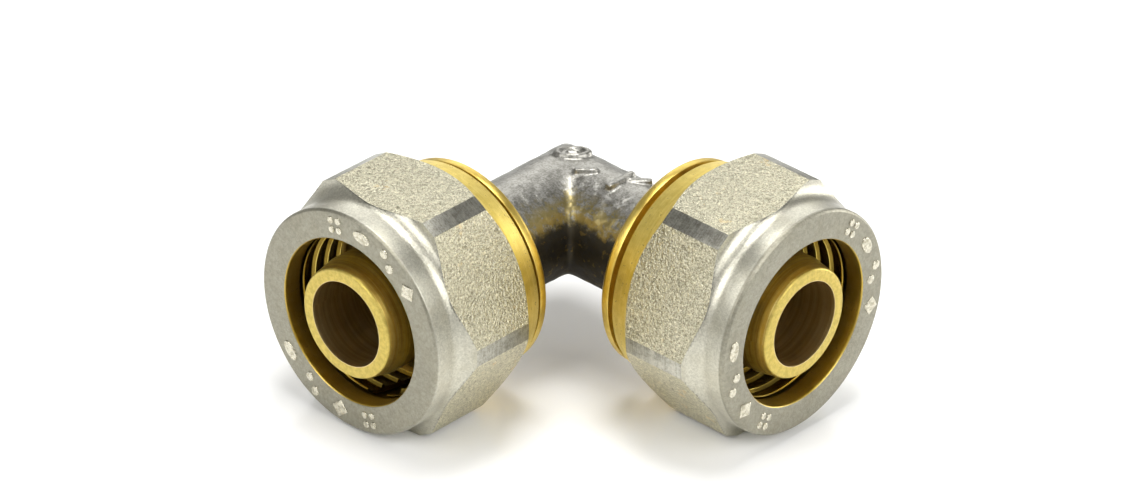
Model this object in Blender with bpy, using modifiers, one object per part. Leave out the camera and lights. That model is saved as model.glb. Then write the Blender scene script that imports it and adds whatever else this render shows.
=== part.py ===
"""Compression elbow for 16 mm multilayer pipe: two equal legs at 90 degrees.

The right leg points along +X and the left leg along -Y.  Each leg is drawn
along its own axis, with heights counted from the point where the two leg
axes cross, and is then turned onto its direction.  The part lies on z = 0.
"""
import math

import bmesh
import bpy
from mathutils import Matrix, Vector

# Driving dimensions, in metres
PIPE_DIAMETER = 0.016
PIPE_BORE = 0.012
THREAD_PITCH = 0.0015
ACROSS_FLATS = 0.0226
ACROSS_CORNERS = 0.0251
CLEARANCE = 0.0003

# Small offsets: the step of a sharp shoulder, and how far joined solids run into each other
HAIR = 0.0001
OVERLAP = 0.0002

# Elbow body: radii, and heights along a leg
WATER_BORE_RADIUS = 0.0042
TUBE_RADIUS = 0.0054
TUBE_BENDS = (0.0024, 0.0003)
BORE_BENDS = (0.0002, 0.0002)
FLANGE_BACK = 0.0134
FLANGE_FRONT = 0.01455
FLANGE_RADIUS = 0.0102
FLANGE_CHAMFER = 0.0004
TUBE_STUB = 0.0006
PIPE_SEAT = 0.0004
SOCKET_FLOOR = 0.0164
SOCKET_RADIUS = PIPE_DIAMETER / 2 + 0.00025
BORE_EXCESS = 0.002
SPIGOT_END = 0.0214
INSERT_END = 0.02948
INSERT_RADIUS = PIPE_BORE / 2 - 0.00015
INSERT_TIP_RADIUS = 0.0054
NOSE_LENGTH = 0.0025
BARB_PITCH = 0.001
BARB_DEPTH = 0.0003
BARB_COUNT = 3

# O-ring grooves of the insert, by the height of their middle
O_RING_THICKNESS = 0.001
GROOVE_WIDTH = O_RING_THICKNESS + 2 * CLEARANCE
GROOVE_RADIUS = 0.00485
GROOVES = {"outer": 0.0224, "inner": 0.0198}

# Thread on the spigot and in the nut
THREAD_ROOT_RADIUS = 0.0090
THREAD_CREST_RADIUS = 0.00985
THREAD_ROOT_WIDTH = 0.00125
THREAD_FLANK = math.radians(30)
THREAD_START = 0.0157
THREAD_TURNS = 3.25
NUT_MINOR_RADIUS = 0.00935
NUT_ROOT_RADIUS = 0.0101
THREAD_FLANK_GAP = 0.0002
GROOVE_LEAD = 1
GROOVE_EXTRA_TURNS = 1.5

# Nut, as depths behind its front face
NUT_FRONT = 0.0291
NUT_LENGTH = 0.0141
NUT_HOLE_RADIUS = 0.0082
NUT_MOUTH_CHAMFER = 0.00025
NUT_EDGE = 0.00015
NUT_CAVITY_RADIUS = 0.00915
NUT_LIP = 0.0019
NUT_THREAD_END = 0.0072
COLLAR_RADIUS = 0.0111
COLLAR_LENGTH = 0.0020
SHOULDER_RADIUS = 0.0017
REAR_CONE_DEPTH = 0.0103
REAR_RIM_RADIUS = 0.0104
REAR_BAND_RADIUS = 0.0110
CORNER_WIDTH = 0.0017
RIGHT_NUT_TURN = math.radians(66)

# Split ring, as depths behind the nut's front face
RING_FRONT = 0.0023
RING_LENGTH = 0.0051
RING_GRIP_RADIUS = 0.00805
RING_RADIUS = NUT_CAVITY_RADIUS - CLEARANCE
RIDGE_PITCH = 0.0016
RIDGE_HEIGHT = 0.00035
RIDGE_COUNT = 3
RIDGE_FOOT = 0.0004
RING_EDGE = 0.0005
SPLIT_WIDTH = 0.0024
SPLIT_SLANT = math.radians(16)
SPLIT_ANGLE = {"left": math.radians(190), "right": math.radians(60)}

# Insulating washer
WASHER_THICKNESS = 0.001
WASHER_HOLE_RADIUS = PIPE_BORE / 2 + OVERLAP
WASHER_RADIUS = SOCKET_RADIUS - CLEARANCE

ROUND_STEPS = 32
SEAL_STEPS = 24
MERGE = 0.000002
SLIVER = 0.000004

# The legs: the turn of each leg's axis from +Z, with its own +X pointing up
LEG_TURN = {
    "right": Matrix(((0, 0, 1), (0, -1, 0), (1, 0, 0))).to_4x4(),
    "left": Matrix(((0, -1, 0), (0, 0, -1), (1, 0, 0))).to_4x4(),
}
NUT_TURN = {"left": 0.0, "right": RIGHT_NUT_TURN}


def lowest_nut_point():
    """How far below the leg axes the lower of the two nuts reaches."""
    flat = ACROSS_FLATS / 2
    sixth = math.radians(30)
    half_flat = ACROSS_CORNERS / 2 * math.sin(sixth) - CORNER_WIDTH / 2 * math.cos(sixth)
    turn = RIGHT_NUT_TURN % (2 * sixth)
    return flat * math.cos(turn) + half_flat * math.sin(turn)


# Where the leg axes cross: the origin lies under the middle of the whole fitting
CENTRE_OFFSET = (INSERT_END - ACROSS_CORNERS / 2) / 2
CROSSING = Vector((-CENTRE_OFFSET, CENTRE_OFFSET, lowest_nut_point()))


def metal(name, colour, roughness, metallic=1.0):
    """A Principled material with the piece's own colour."""
    material = bpy.data.materials.new(name)
    material.use_nodes = True
    shader = material.node_tree.nodes["Principled BSDF"]
    shader.inputs["Base Color"].default_value = (*colour, 1.0)
    shader.inputs["Roughness"].default_value = roughness
    shader.inputs["Metallic"].default_value = metallic
    return material


def add_object(name, mesh, collection, material=None):
    """Put a mesh in a collection as a new object."""
    item = bpy.data.objects.new(name, mesh)
    collection.objects.link(item)
    if material and not mesh.materials:
        mesh.materials.append(material)
    return item


def finished_mesh(item, name):
    """The object's evaluated mesh, in world space, as a new mesh."""
    bpy.context.view_layer.update()
    graph = bpy.context.evaluated_depsgraph_get()
    mesh = bpy.data.meshes.new_from_object(item.evaluated_get(graph))
    mesh.name = name
    mesh.transform(item.matrix_world)
    shape = bmesh.new()
    shape.from_mesh(mesh)
    bmesh.ops.dissolve_degenerate(shape, edges=shape.edges[:], dist=SLIVER)
    bmesh.ops.triangulate(shape, faces=[face for face in shape.faces if len(face.verts) > 4])
    shape.to_mesh(mesh)
    shape.free()
    return mesh


def outline_mesh(name, outline, closed):
    """A profile of (radius, height) points in the XZ plane."""
    mesh = bpy.data.meshes.new(name)
    count = len(outline)
    edges = [(i, i + 1) for i in range(count - 1)]
    if closed:
        edges.append((count - 1, 0))
    mesh.from_pydata([(radius, 0.0, height) for radius, height in outline], edges, [])
    return mesh


def turned(name, outline, collection, closed=True, material=None, steps=ROUND_STEPS):
    """A profile turned about Z: down its outer side, and back up its inner side if closed."""
    item = add_object(name, outline_mesh(name, outline, closed), collection, material)
    screw = item.modifiers.new("Turn", "SCREW")
    screw.axis = "Z"
    screw.steps = steps
    screw.render_steps = steps
    screw.use_merge_vertices = True
    screw.merge_threshold = MERGE
    screw.use_smooth_shade = False
    return item


def boolean(item, other, operation):
    """Join or cut an object with another one."""
    modifier = item.modifiers.new(f"{operation.title()} {other.name}", "BOOLEAN")
    modifier.operation = operation
    modifier.solver = "EXACT"
    modifier.object = other


def helix(name, section, start, turns, collection):
    """A right-hand helical rib: a (radius, height) section swept about Z."""
    shape = bmesh.new()
    corners = [shape.verts.new((radius, 0.0, start + height)) for radius, height in section]
    shape.faces.new(corners)
    steps = round(turns * ROUND_STEPS)
    bmesh.ops.spin(
        shape,
        geom=shape.verts[:] + shape.edges[:] + shape.faces[:],
        cent=(0, 0, 0),
        axis=(0, 0, 1),
        dvec=(0, 0, THREAD_PITCH / ROUND_STEPS),
        angle=math.tau * steps / ROUND_STEPS,
        steps=steps,
        use_duplicate=False,
    )
    bmesh.ops.recalc_face_normals(shape, faces=shape.faces[:])
    mesh = bpy.data.meshes.new(name)
    shape.to_mesh(mesh)
    shape.free()
    return add_object(name, mesh, collection)


def thread_section(inner, outer, gap):
    """The thread's trapezium between two radii, widened by a gap on each flank."""
    points = []
    for radius, side in ((inner, -1), (outer, -1), (outer, 1), (inner, 1)):
        narrowing = (radius - THREAD_ROOT_RADIUS) * math.tan(THREAD_FLANK)
        half_width = THREAD_ROOT_WIDTH / 2 - narrowing + gap / math.cos(THREAD_FLANK)
        points.append((radius, side * half_width))
    return points


def claim(item, name, collection):
    """Name a fresh primitive and move it to a collection."""
    item.name = name
    for owner in list(item.users_collection):
        owner.objects.unlink(item)
    collection.objects.link(item)
    return item


def insert_outline():
    """Outer side of the pipe insert, from its tip down to the socket floor."""
    points = [(0.0, INSERT_END), (INSERT_TIP_RADIUS, INSERT_END)]
    height = INSERT_END - NOSE_LENGTH
    for _ in range(BARB_COUNT):
        points.append((INSERT_RADIUS, height))
        points.append((INSERT_RADIUS - BARB_DEPTH, height - HAIR))
        height -= BARB_PITCH
    points.append((INSERT_RADIUS, height))
    for middle in sorted(GROOVES.values(), reverse=True):
        top = middle + GROOVE_WIDTH / 2
        bottom = middle - GROOVE_WIDTH / 2
        points += [(INSERT_RADIUS, top), (GROOVE_RADIUS, top)]
        points += [(GROOVE_RADIUS, bottom), (INSERT_RADIUS, bottom)]
    points.append((INSERT_RADIUS, SOCKET_FLOOR))
    return points


def leg_outline():
    """One leg as a solid of revolution: insert, socket, threaded spigot, flange and tube."""
    stub_radius = TUBE_RADIUS - OVERLAP
    stub_end = FLANGE_BACK - TUBE_STUB
    points = insert_outline()
    points += [(SOCKET_RADIUS, SOCKET_FLOOR), (SOCKET_RADIUS, SPIGOT_END - PIPE_SEAT)]
    points += [(SOCKET_RADIUS + PIPE_SEAT, SPIGOT_END), (THREAD_ROOT_RADIUS, SPIGOT_END)]
    points += [(THREAD_ROOT_RADIUS, FLANGE_FRONT), (FLANGE_RADIUS, FLANGE_FRONT)]
    points += [(FLANGE_RADIUS, FLANGE_BACK + FLANGE_CHAMFER)]
    points += [(FLANGE_RADIUS - FLANGE_CHAMFER, FLANGE_BACK)]
    points += [(stub_radius, FLANGE_BACK), (stub_radius, stub_end), (0.0, stub_end)]
    return points


def bend_ring(radius, bends, turn):
    """Points of a mitred tube's section at one turn of its bend, 0 on the left leg."""
    outer_bend, inner_bend = bends
    ring = []
    for step in range(ROUND_STEPS):
        angle = math.tau * step / ROUND_STEPS
        across = radius * math.sin(angle)
        outwardness = (1 - math.sin(angle)) / 2
        bend = inner_bend + (outer_bend - inner_bend) * outwardness
        centre = Vector((across + bend, -across - bend, radius * math.cos(angle)))
        ring.append(centre + bend * Vector((-math.cos(turn), math.sin(turn), 0.0)))
    return ring


def mitred_tube(name, radius, bends, reach, collection):
    """A solid rod along both legs, with softened outer and inner corners where they meet."""
    rings = [bend_ring(radius, bends, math.radians(angle)) for angle in (0, 30, 60, 90)]
    rings.insert(0, [Vector((point.x, -reach, point.z)) for point in rings[0]])
    rings.append([Vector((reach, point.y, point.z)) for point in rings[-1]])
    shape = bmesh.new()
    loops = [[shape.verts.new(point) for point in ring] for ring in rings]
    for first, second in zip(loops, loops[1:]):
        for i in range(ROUND_STEPS):
            j = (i + 1) % ROUND_STEPS
            shape.faces.new((first[i], first[j], second[j], second[i]))
    shape.faces.new(loops[0])
    shape.faces.new(loops[-1])
    bmesh.ops.recalc_face_normals(shape, faces=shape.faces[:])
    mesh = bpy.data.meshes.new(name)
    shape.to_mesh(mesh)
    shape.free()
    return add_object(name, mesh, collection)


def make_elbow(parts, cutters, material):
    """The one-piece forged and machined body."""
    body = mitred_tube("elbow_tube", TUBE_RADIUS, TUBE_BENDS, FLANGE_BACK + OVERLAP, cutters)
    bore_reach = INSERT_END + BORE_EXCESS
    bore = mitred_tube("water_bore", WATER_BORE_RADIUS, BORE_BENDS, bore_reach, cutters)
    pieces = []
    section = thread_section(THREAD_ROOT_RADIUS - OVERLAP, THREAD_CREST_RADIUS, 0.0)
    for side, turn in LEG_TURN.items():
        leg = turned(f"{side}_leg", leg_outline(), cutters, closed=False)
        thread = helix(f"{side}_thread", section, THREAD_START, THREAD_TURNS, cutters)
        for piece in (leg, thread):
            piece.matrix_world = turn
            pieces.append(piece)
    for piece in pieces:
        boolean(body, piece, "UNION")
    boolean(body, bore, "DIFFERENCE")
    mesh = finished_mesh(body, "elbow_body")
    for helper in [*pieces, bore, body]:
        bpy.data.objects.remove(helper)
    elbow = add_object("elbow_body", mesh, parts, material)
    elbow.location = CROSSING
    return elbow


def nut_outline():
    """Outer and inner sides of a nut, with its front face at height 0."""
    points = [(COLLAR_RADIUS - NUT_EDGE, 0.0), (COLLAR_RADIUS, -NUT_EDGE)]
    points.append((COLLAR_RADIUS, -COLLAR_LENGTH))
    for degrees in (20, 40, 60, 80):
        angle = math.radians(degrees)
        radius = COLLAR_RADIUS + SHOULDER_RADIUS * (1 - math.cos(angle))
        points.append((radius, -COLLAR_LENGTH - SHOULDER_RADIUS * math.sin(angle)))
    corner = ACROSS_CORNERS / 2 + OVERLAP
    points += [(corner, points[-1][1] - HAIR), (corner, -REAR_CONE_DEPTH)]
    cone = corner - REAR_BAND_RADIUS
    points += [(REAR_BAND_RADIUS, -REAR_CONE_DEPTH - cone), (REAR_RIM_RADIUS, -NUT_LENGTH)]
    points += [(NUT_MINOR_RADIUS, -NUT_LENGTH), (NUT_MINOR_RADIUS, -NUT_THREAD_END)]
    wedge = NUT_CAVITY_RADIUS - NUT_HOLE_RADIUS
    points += [(NUT_CAVITY_RADIUS, -NUT_THREAD_END), (NUT_CAVITY_RADIUS, -NUT_LIP - wedge)]
    points += [(NUT_HOLE_RADIUS, -NUT_LIP), (NUT_HOLE_RADIUS, -NUT_MOUTH_CHAMFER)]
    points.append((NUT_HOLE_RADIUS + NUT_MOUTH_CHAMFER, 0.0))
    return points


def hexagon_bar(collection):
    """A hexagonal bar with cut corners, one flat square to +X."""
    sharp_radius = ACROSS_FLATS / 2 / math.cos(math.radians(30))
    bpy.ops.mesh.primitive_cylinder_add(vertices=6, radius=sharp_radius, depth=3 * NUT_LENGTH)
    bar = claim(bpy.context.object, "hexagon_bar", collection)
    bevel = bar.modifiers.new("Cut corners", "BEVEL")
    bevel.limit_method = "WEIGHT"
    bevel.offset_type = "WIDTH"
    bevel.width = CORNER_WIDTH
    bevel.segments = 1
    shape = bmesh.new()
    shape.from_mesh(bar.data)
    weights = shape.edges.layers.float.new("bevel_weight_edge")
    for edge in shape.edges:
        is_corner = len({round(vert.co.z, 6) for vert in edge.verts}) == 2
        edge[weights] = 1.0 if is_corner else 0.0
    shape.to_mesh(bar.data)
    shape.free()
    return bar


def make_nut_mesh(cutters):
    """The nut's mesh, with its front face at height 0 and its thread in phase with the spigot's."""
    nut = turned("nut_blank", nut_outline(), cutters)
    bar = hexagon_bar(cutters)
    section = thread_section(NUT_MINOR_RADIUS - CLEARANCE, NUT_ROOT_RADIUS, THREAD_FLANK_GAP)
    start = THREAD_START - GROOVE_LEAD * THREAD_PITCH - NUT_FRONT
    groove = helix("nut_groove", section, start, THREAD_TURNS + GROOVE_EXTRA_TURNS, cutters)
    half_facet = math.pi / ROUND_STEPS
    shift = Matrix.Translation((0, 0, THREAD_PITCH * half_facet / math.tau))
    groove.matrix_world = shift @ Matrix.Rotation(half_facet, 4, "Z")
    boolean(nut, bar, "INTERSECT")
    boolean(nut, groove, "DIFFERENCE")
    mesh = finished_mesh(nut, "nut")
    for helper in (nut, bar, groove):
        bpy.data.objects.remove(helper)
    return mesh


def ring_outline():
    """Outer and ridged inner sides of a split ring, with the nut's front face at height 0."""
    base = RING_GRIP_RADIUS + RIDGE_HEIGHT
    front = -RING_FRONT
    rear = front - RING_LENGTH
    mouth = RING_GRIP_RADIUS + HAIR
    wedge = RING_RADIUS - mouth
    points = [(mouth, front), (RING_RADIUS, front - wedge), (RING_RADIUS, rear), (base, rear)]
    for ridge in range(RIDGE_COUNT, 0, -1):
        height = front - RIDGE_PITCH * ridge
        points += [(base, height - RIDGE_FOOT), (RING_GRIP_RADIUS, height - HAIR)]
        points += [(RING_GRIP_RADIUS, height + HAIR), (base, height + RIDGE_FOOT)]
    points += [(base, front - RING_EDGE), (RING_GRIP_RADIUS, front - 2 * HAIR)]
    return points


def make_ring(side, parts, cutters, material):
    """A compression ring with gripping ridges and a slanted split."""
    name = f"{side}_split_ring"
    ring = turned(name, ring_outline(), parts, material=material)
    bpy.ops.mesh.primitive_cube_add(size=1.0)
    slit = claim(bpy.context.object, f"{name}_slit", cutters)
    slit.scale = (4 * CLEARANCE + RING_RADIUS - RING_GRIP_RADIUS, SPLIT_WIDTH, 3 * RING_LENGTH)
    slit.hide_render = True
    slit.display_type = "WIRE"
    slit.parent = ring
    slit.location = ((RING_RADIUS + RING_GRIP_RADIUS) / 2, 0.0, -RING_FRONT)
    slit.rotation_euler.x = SPLIT_SLANT
    boolean(ring, slit, "DIFFERENCE")
    return ring


def o_ring_outline():
    """The round section of an O-ring, clockwise in the XZ plane."""
    radius = O_RING_THICKNESS / 2
    middle = GROOVE_RADIUS + CLEARANCE + radius
    corners = 8
    points = []
    for step in range(corners):
        angle = -math.tau * step / corners
        points.append((middle + radius * math.cos(angle), radius * math.sin(angle)))
    return points


def washer_outline():
    """The square section of the insulating washer, resting just above the socket floor."""
    bottom = SOCKET_FLOOR + CLEARANCE
    top = bottom + WASHER_THICKNESS
    outer = [(WASHER_RADIUS, top), (WASHER_RADIUS, bottom)]
    return outer + [(WASHER_HOLE_RADIUS, bottom), (WASHER_HOLE_RADIUS, top)]


def make_side(side, nut_mesh, parts, cutters, materials):
    """The loose pieces of one leg, carried by an empty on the leg's axis."""
    carrier = bpy.data.objects.new(f"{side}_leg_axis", None)
    parts.objects.link(carrier)
    carrier.matrix_world = Matrix.Translation(CROSSING) @ LEG_TURN[side]
    turn = NUT_TURN[side]
    nut_front = NUT_FRONT + THREAD_PITCH * turn / math.tau

    nut = add_object(f"{side}_nut", nut_mesh.copy(), parts, materials["nickel"])
    nut.parent = carrier
    nut.location.z = nut_front
    nut.rotation_euler.z = turn

    ring = make_ring(side, parts, cutters, materials["ring brass"])
    ring.parent = carrier
    ring.location.z = nut_front
    ring.rotation_euler.z = SPLIT_ANGLE[side]

    for place, height in GROOVES.items():
        name = f"{side}_{place}_o_ring"
        seal = turned(name, o_ring_outline(), parts, material=materials["rubber"], steps=SEAL_STEPS)
        seal.parent = carrier
        seal.location.z = height

    washer_name = f"{side}_insulating_washer"
    washer = turned(washer_name, washer_outline(), parts, material=materials["washer"])
    washer.parent = carrier


def main():
    for item in list(bpy.data.objects):
        bpy.data.objects.remove(item)
    parts = bpy.data.collections.new("compression_elbow")
    cutters = bpy.data.collections.new("cutters")
    for collection in (parts, cutters):
        bpy.context.scene.collection.children.link(collection)
    materials = {
        "nickel": metal("Nickel plated brass", (0.62, 0.60, 0.54), 0.38),
        "body": metal("Forged nickel plated body", (0.55, 0.54, 0.50), 0.40),
        "ring brass": metal("Ring brass", (0.72, 0.53, 0.16), 0.28),
        "rubber": metal("Seal rubber", (0.02, 0.02, 0.02), 0.55, 0.0),
        "washer": metal("White washer plastic", (0.80, 0.80, 0.77), 0.45, 0.0),
    }
    make_elbow(parts, cutters, materials["body"])
    nut_mesh = make_nut_mesh(cutters)
    for side in LEG_TURN:
        make_side(side, nut_mesh, parts, cutters, materials)
    bpy.context.view_layer.update()


main()
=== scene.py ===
"""Finished looks for a compression elbow: plated nuts, forged body, brass rings, seals and washers.

Each piece of a leg is modelled on the Z axis, with heights counted from the
point where the two leg axes cross, and is then turned onto its own leg.
Lengths are in metres, unless a name says millimetres.
"""
import math

import bmesh
import bpy
from mathutils import Matrix, Vector


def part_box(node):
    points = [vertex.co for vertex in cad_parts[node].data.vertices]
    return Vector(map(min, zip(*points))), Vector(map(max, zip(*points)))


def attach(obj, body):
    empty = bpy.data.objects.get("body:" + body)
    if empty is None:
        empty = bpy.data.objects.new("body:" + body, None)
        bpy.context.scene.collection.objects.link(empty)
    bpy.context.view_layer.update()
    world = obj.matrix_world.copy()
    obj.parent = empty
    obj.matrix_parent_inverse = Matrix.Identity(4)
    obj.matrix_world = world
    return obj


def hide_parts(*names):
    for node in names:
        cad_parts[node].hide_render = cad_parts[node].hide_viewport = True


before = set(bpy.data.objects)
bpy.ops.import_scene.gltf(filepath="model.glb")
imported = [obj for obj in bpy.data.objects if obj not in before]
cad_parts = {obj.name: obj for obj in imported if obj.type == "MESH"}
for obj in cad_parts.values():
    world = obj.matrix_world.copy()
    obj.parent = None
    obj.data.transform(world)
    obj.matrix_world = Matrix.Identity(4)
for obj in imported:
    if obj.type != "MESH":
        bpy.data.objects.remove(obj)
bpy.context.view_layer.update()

MM = 0.001

# Sizes shared with the fitting's own design, in metres
PIPE_BORE = 0.012
THREAD_PITCH = 0.0015
ACROSS_FLATS = 0.0226
CORNER_WIDTH = 0.0017
CLEARANCE = 0.0003
WATER_BORE_RADIUS = 0.0042
TUBE_RADIUS = 0.0054
FLANGE_BACK = 0.0134
FLANGE_FRONT = 0.01455
FLANGE_RADIUS = 0.0102
SOCKET_FLOOR = 0.0164
SOCKET_RADIUS = 0.00825
SPIGOT_END = 0.0214
INSERT_END = 0.02948
INSERT_RADIUS = 0.00585
INSERT_TIP_RADIUS = 0.0054
NOSE_LENGTH = 0.0025
BARB_PITCH = 0.001
BARB_DEPTH = 0.0003
BARB_COUNT = 3
O_RING_RADIUS = 0.0005
GROOVE_WIDTH = 0.0016
GROOVE_RADIUS = 0.00485
GROOVES = {"outer": 0.0224, "inner": 0.0198}
THREAD_ROOT_RADIUS = 0.0090
THREAD_CREST_RADIUS = 0.00985
THREAD_ROOT_WIDTH = 0.00125
THREAD_FLANK = math.radians(30)
THREAD_START = 0.0157
THREAD_TURNS = 3.25
NUT_MINOR_RADIUS = 0.00935
NUT_ROOT_RADIUS = 0.0101
THREAD_FLANK_GAP = 0.0002
NUT_FRONT = 0.0291
NUT_LENGTH = 0.0141
NUT_HOLE_RADIUS = 0.0082
NUT_CAVITY_RADIUS = 0.00915
NUT_LIP = 0.0019
NUT_THREAD_END = 0.0072
COLLAR_RADIUS = 0.0111
COLLAR_LENGTH = 0.0020
SHOULDER_RADIUS = 0.0017
CORNER_RADIUS = 0.01275
REAR_CONE_DEPTH = 0.0103
REAR_RIM_RADIUS = 0.0104
REAR_BAND_RADIUS = 0.0110
RING_FRONT = 0.0023
RING_LENGTH = 0.0051
RING_GRIP_RADIUS = 0.00805
RING_RADIUS = NUT_CAVITY_RADIUS - CLEARANCE
RIDGE_PITCH = 0.0016
RIDGE_HEIGHT = 0.00035
RIDGE_COUNT = 3
SPLIT_WIDTH = 0.0024
SPLIT_SLANT = math.radians(16)
WASHER_THICKNESS = 0.001
WASHER_HOLE_RADIUS = PIPE_BORE / 2 + 0.0002
WASHER_RADIUS = SOCKET_RADIUS - CLEARANCE

# How finely round shapes are drawn: the steps of a full turn
FINE_STEPS = 160
THREAD_STEPS = 96
SEAL_STEPS = 96
TUBE_STEPS = 96

# Points nearer than MERGE become one, TOUCH away counts as on a surface, and SKIN is a small step
MERGE = 0.000001
TOUCH = 0.00001
SKIN = 0.0001

# The rounding of edges
EDGE_ROUNDING = 0.00009
NUT_ROUNDING = 0.00005
RING_ROUNDING = 0.00004
WASHER_ROUNDING = 0.00012

# The forging's roughness: the size and the depth of its waves and of its grain
FORGING_WAVE = (0.0028, 0.00016)
FORGING_GRAIN = (0.0007, 0.00004)

# Each leg: the turn of its axis from +Z, and where its loose pieces are turned to
LEG_TURN = {
    "right": Matrix(((0, 0, 1), (0, -1, 0), (1, 0, 0))).to_4x4(),
    "left": Matrix(((0, -1, 0), (0, 0, -1), (1, 0, 0))).to_4x4(),
}
NUT_TURN = {"left": 0.0, "right": math.radians(66)}
SPLIT_ANGLE = {"left": math.radians(190), "right": math.radians(60)}
NUT_BODY = {"left": "left_nut", "right": "right_nut"}
RING_BODY = {"left": "left_ring", "right": "right_ring"}

# The finishes of a nut and of the body, in the order of their material slots
NUT_FINISHES = ("blasted", "satin", "turned brass", "worn", "burnished")
BODY_FINISHES = ("forging", "machined brass")

# Generic raised marks on a nut's front face: each part's corners, half widths and place,
# the last two in millimetres
DOT_CORNERS = 16
MARKS = {
    "four dots": [(DOT_CORNERS, (0.36, 0.36), (x, y))
                  for x in (-0.46, 0.46) for y in (-0.46, 0.46)],
    "oval pad": [(DOT_CORNERS, (1.05, 0.58), (0.0, 0.0))],
    "two dots": [(DOT_CORNERS, (0.48, 0.48), place) for place in ((-0.6, 0.4), (0.6, -0.4))],
    "diamond": [(4, (0.95, 0.95), (0.0, 0.0))],
}
# The first angle and the step, in degrees, of each row of marks
MARK_ROWS = {
    "left": ((11, -20), (130, 22)),
    "right": ((-40, -21), (83, 22)),
}
MARK_RADIUS = 0.00968
MARK_HEIGHT = 0.0001

# Where the right nut's corner and the left nut's flat meet the floor, along Y from the crossing
RIGHT_CONTACT = -0.00433
LEFT_CONTACT = -0.0263

# Camera, as an orbit round the crossing of the leg axes
CAMERA_AZIMUTH = math.radians(42.06)
CAMERA_ELEVATION = math.radians(31.15)
CAMERA_ROLL = math.radians(1.51)
CAMERA_DISTANCE = 0.61181
CAMERA_RIGHT = 0.00028
CAMERA_UP = -0.00407
CAMERA_LENS = 206.68

# Soft square lights: direction, distance, size and power
LIGHTS = {
    "front_left": ((-0.05, -0.74, 0.64), 0.9, 0.52, 3.75),
    "front_right": ((0.78, 0.0, 0.60), 0.9, 0.52, 4.0),
    "overhead": ((-0.08, 0.12, 1.0), 0.8, 0.35, 4.3),
    "behind_left": ((-0.55, 0.62, 0.42), 0.9, 0.5, 1.5),
    "behind_right": ((0.33, 0.94, 0.14), 0.9, 0.4, 2.6),
}


def middle(node):
    """The middle of a CAD node's box."""
    low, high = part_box(node)
    return (low + high) / 2


CROSSING = Vector((
    middle("left_outer_o_ring").x,
    middle("right_outer_o_ring").y,
    middle("right_outer_o_ring").z,
))


# Modelling

def begin_edit(piece):
    """Open a piece's mesh with nothing selected."""
    bpy.ops.object.select_all(action="DESELECT")
    bpy.context.view_layer.objects.active = piece
    piece.select_set(True)
    bpy.ops.object.mode_set(mode="EDIT")
    bpy.ops.mesh.select_all(action="DESELECT")


def end_edit():
    """Turn all faces outwards and close the mesh again."""
    bpy.ops.mesh.select_all(action="SELECT")
    bpy.ops.mesh.remove_doubles(threshold=MERGE)
    bpy.ops.mesh.normals_make_consistent(inside=False)
    bpy.ops.object.mode_set(mode="OBJECT")


def pick(piece, mode, wanted):
    """Select the open mesh's verts, edges or faces that pass a test."""
    bpy.ops.mesh.select_mode(type={"verts": "VERT", "edges": "EDGE", "faces": "FACE"}[mode])
    bpy.ops.mesh.select_all(action="DESELECT")
    shape = bmesh.from_edit_mesh(piece.data)
    for element in getattr(shape, mode):
        if wanted(element):
            element.select_set(True)
    shape.select_flush_mode()
    bmesh.update_edit_mesh(piece.data)


def named(name):
    """Name the primitive just added, with its place moved into its mesh."""
    piece = bpy.context.object
    piece.name = name
    piece.data.name = name
    bpy.ops.object.transform_apply(location=True, rotation=True, scale=True)
    return piece


def apply_modifier(piece, kind, **settings):
    """Add a modifier, set it and apply it."""
    bpy.ops.object.select_all(action="DESELECT")
    bpy.context.view_layer.objects.active = piece
    piece.select_set(True)
    modifier = piece.modifiers.new(kind.title(), kind)
    for setting, value in settings.items():
        setattr(modifier, setting, value)
    bpy.ops.object.modifier_apply(modifier=modifier.name)


def combine(piece, other, operation):
    """Join, cut or intersect a piece with a helper, which is then removed."""
    apply_modifier(piece, "BOOLEAN", operation=operation, solver="EXACT", object=other)
    bpy.data.objects.remove(other)


def put(piece, matrix):
    """Move a finished mesh by a matrix, leaving its object at the origin."""
    bpy.ops.object.select_all(action="DESELECT")
    bpy.context.view_layer.objects.active = piece
    piece.select_set(True)
    piece.matrix_world = matrix
    bpy.ops.object.transform_apply(location=True, rotation=True, scale=True)


def duplicate(piece, name):
    """A copy of a piece with its own mesh."""
    twin = piece.copy()
    twin.data = piece.data.copy()
    twin.name = name
    twin.data.name = name
    bpy.context.scene.collection.objects.link(twin)
    return twin


def rounded(outline, size=EDGE_ROUNDING, closed=True):
    """The outline with each corner replaced by three points of a small round."""
    largest_share = 0.4
    points = [Vector(point) for point in outline]
    result = []
    for index, corner in enumerate(points):
        if not closed and index in (0, len(points) - 1):
            result.append(tuple(corner))
            continue
        before = points[index - 1] - corner
        after = points[(index + 1) % len(points)] - corner
        reach = min(size, before.length * largest_share, after.length * largest_share)
        start = corner + before.normalized() * reach
        stop = corner + after.normalized() * reach
        crown = ((start + stop) / 2 + corner) / 2
        result += [tuple(start), tuple(crown), tuple(stop)]
    return result


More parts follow.
